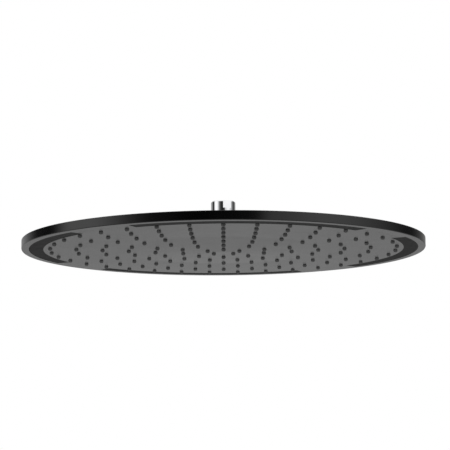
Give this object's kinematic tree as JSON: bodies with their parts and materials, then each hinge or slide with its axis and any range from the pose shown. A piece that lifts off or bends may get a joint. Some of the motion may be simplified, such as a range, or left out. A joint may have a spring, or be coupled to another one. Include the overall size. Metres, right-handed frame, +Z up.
{
  "type": "rain shower head",
  "caption": "Large flat round rain shower head in satin black with soft nozzles, on a ball joint with a chrome inlet collar for a half-inch shower arm.",
  "frame": {"origin": "centre of the inlet's mouth, on the top of the collar", "axes": "+Z up out of the inlet's mouth along the head's axis, with the spray face down; the first nozzle of every ring lies on the -Y side"},
  "size_m": [0.3999, 0.4, 0.0522],
  "materials": {
    "satin_black": "satin",
    "silicone": "matte",
    "black_rubber": "matte",
    "chrome": "polished",
    "brass": "machined",
    "white_plastic": "matte",
    "dark_plastic": "matte",
    "stainless_steel": "brushed"
  },
  "bodies": {
    "inlet": {"inlet_collar": "chrome", "ball_stem": "chrome", "collar_seal": "black_rubber", "flow_regulator": "white_plastic", "filter_screen": "stainless_steel", "filter_washer": "black_rubber"},
    "slip": {"slip_ring": "white_plastic"},
    "seal": {"ball_seal": "black_rubber"},
    "head": {"retaining_nut": "chrome", "hub": "brass", "hub_seal": "black_rubber", "hub_washer": "stainless_steel", "hub_nut": "brass", "top_cover": "satin_black", "edge_ring": "satin_black", "spray_plate": "satin_black", "nozzle_mat": "silicone", "chamber_lid": "dark_plastic", "chamber_seal": "black_rubber", "arc_insert_1": "silicone", "arc_insert_2": "silicone", "arc_insert_3": "silicone", "arc_insert_4": "silicone"}
  },
  "joints": [
    {"name": "tilt_x", "type": "hinge", "parent": "inlet", "child": "slip", "pos_m": [0, 0, -0.02693], "axis": [1, 0, 0], "range_deg": [-12, 12]},
    {"name": "tilt_y", "type": "hinge", "parent": "slip", "child": "seal", "pos_m": [0, 0, -0.02693], "axis": [0, 1, 0], "range_deg": [-12, 12]},
    {"name": "swivel", "type": "hinge", "parent": "seal", "child": "head", "pos_m": [0, 0, -0.02693], "axis": [0, 0, 1], "continuous": true}
  ]
}
